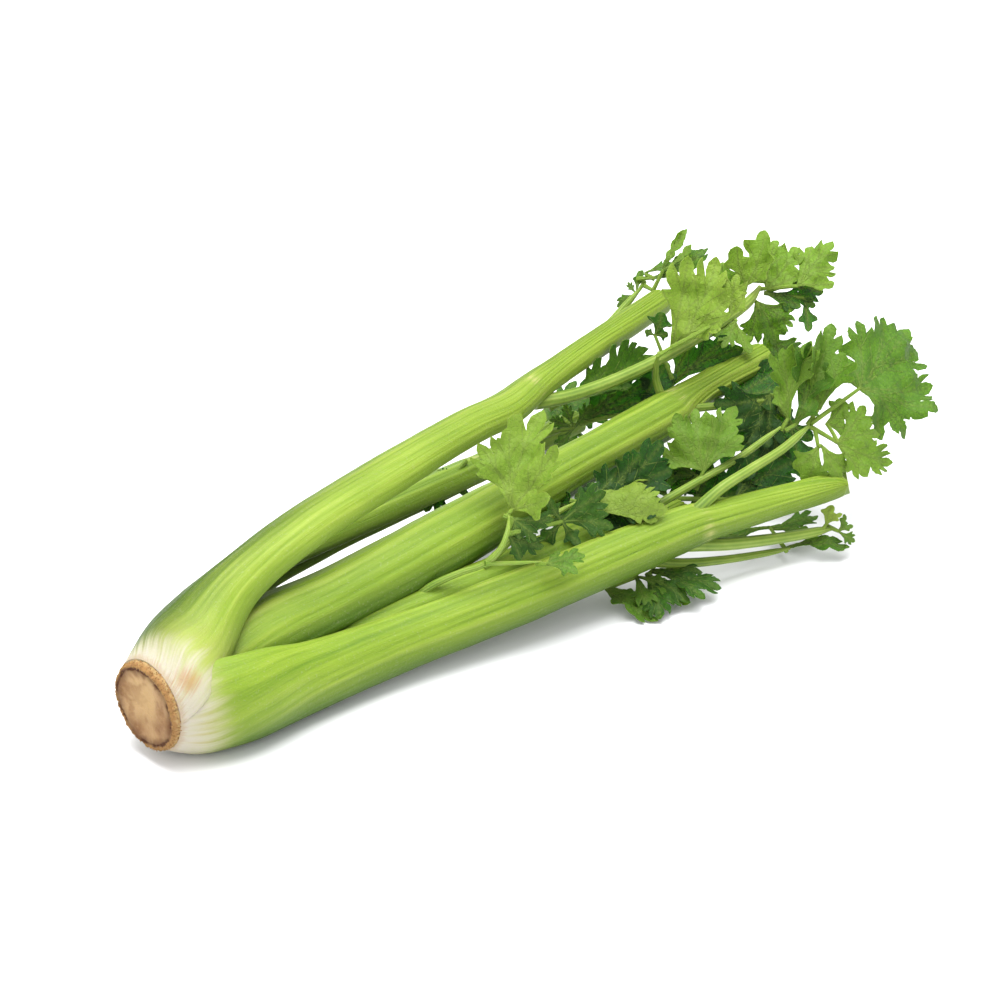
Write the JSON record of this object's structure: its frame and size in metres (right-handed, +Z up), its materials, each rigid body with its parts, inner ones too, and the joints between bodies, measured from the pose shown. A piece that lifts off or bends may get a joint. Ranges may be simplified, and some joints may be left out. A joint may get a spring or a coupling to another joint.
{
  "type": "head of celery",
  "caption": "Trimmed head of celery lying on its side: ribbed stalks on a cut butt, leaf stems and lobed leaves at the top.",
  "frame": {"origin": "under the middle of the bunch's bounding box, on the surface that it lies on", "axes": "+X along the bunch from the cut butt to the leaves, +Z up from the surface, +Y to the left when looking along +X"},
  "size_m": [0.4068, 0.1884, 0.1212],
  "materials": {
    "butt": "dry cut crown tissue, tan with a browner ring and rim",
    "stalk": "moist waxy ribbed skin, cream at the butt, yellow-green above",
    "leaf_stem": "moist waxy skin with fine ribs, pale green",
    "leaf": "soft matt leaf, mid to dark green with paler veins"
  },
  "bodies": {
    "root": {"butt": "butt", "stalk_top": "stalk", "stalk_front": "stalk", "stalk_middle": "stalk", "stalk_back": "stalk", "stalk_under": "stalk", "stalk_inner": "stalk", "first_stem": "leaf_stem", "first_branch": "leaf_stem", "top_stem_near": "leaf_stem", "top_stem_far": "leaf_stem", "middle_stem_near": "leaf_stem", "middle_stem_far": "leaf_stem", "front_stem_upper": "leaf_stem", "front_stem_lower": "leaf_stem", "inner_stem_upper": "leaf_stem", "inner_stem_lower": "leaf_stem", "inner_stem_side": "leaf_stem", "back_stem": "leaf_stem", "under_stem": "leaf_stem", "leaf_first_tall": "leaf", "leaf_first_low": "leaf", "leaf_first_dark": "leaf", "leaf_top_pale": "leaf", "leaf_top_point": "leaf", "leaf_top_end": "leaf", "leaf_top_fold": "leaf", "leaf_top_under": "leaf", "leaf_top_side": "leaf", "leaf_top_blade": "leaf", "leaf_top_crest": "leaf", "leaf_top_hidden": "leaf", "leaf_top_shade": "leaf", "leaf_middle_behind": "leaf", "leaf_middle_drape": "leaf", "leaf_middle_ruffle": "leaf", "leaf_middle_low": "leaf", "leaf_middle_shade": "leaf", "leaf_middle_hang": "leaf", "leaf_inner_dark": "leaf", "leaf_inner_shade": "leaf", "leaf_inner_high": "leaf", "leaf_inner_tall": "leaf", "leaf_front_tall": "leaf", "leaf_front_big": "leaf", "leaf_front_drop": "leaf", "leaf_front_round": "leaf", "leaf_front_tip": "leaf", "leaf_front_tuft": "leaf", "leaf_floor_broad": "leaf", "leaf_floor_tongue": "leaf", "leaf_floor_far": "leaf", "leaf_back_dark": "leaf", "leaf_back_wide": "leaf", "leaf_back_small": "leaf", "leaf_under_low": "leaf", "leaf_under_side": "leaf", "leaf_under_end": "leaf", "leaf_rear_high": "leaf", "leaf_rear_drape": "leaf"}
  },
  "joints": []
}
